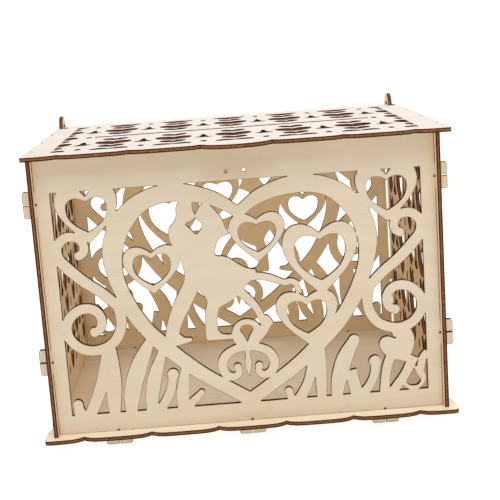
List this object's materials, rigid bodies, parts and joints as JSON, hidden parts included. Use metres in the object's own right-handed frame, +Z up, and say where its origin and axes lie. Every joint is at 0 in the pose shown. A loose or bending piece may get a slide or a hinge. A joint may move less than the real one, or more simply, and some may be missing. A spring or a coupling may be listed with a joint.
{
  "type": "wedding card box",
  "caption": "Openwork plywood card box with tabbed walls, a scalloped base and a slotted lid that turns on pins between rear ears.",
  "frame": {"origin": "under the middle of the closed box's outline, on the plane of the tab ends that the box stands on; the lid overhangs the front, so the base board's centre lies 7.75 mm behind it", "axes": "+Z up, +X to the right when facing the front wall, -Y towards the front"},
  "size_m": [0.3, 0.2566, 0.2246],
  "materials": {
    "base_panel": "matte raw plywood",
    "front_panel": "matte raw plywood",
    "back_panel": "matte raw plywood",
    "left_side_panel": "matte raw plywood",
    "right_side_panel": "matte raw plywood",
    "lid_panel": "matte raw plywood"
  },
  "bodies": {
    "box": {"base_panel": "base_panel", "front_panel": "front_panel", "back_panel": "back_panel", "left_side_panel": "left_side_panel", "right_side_panel": "right_side_panel"},
    "lid": {"lid_panel": "lid_panel"}
  },
  "joints": [
    {"name": "lid_hinge", "type": "hinge", "parent": "box", "child": "lid", "pos_m": [0, 0.10525, 0.2135], "axis": [-1, 0, 0], "range_deg": [0, 180]}
  ]
}
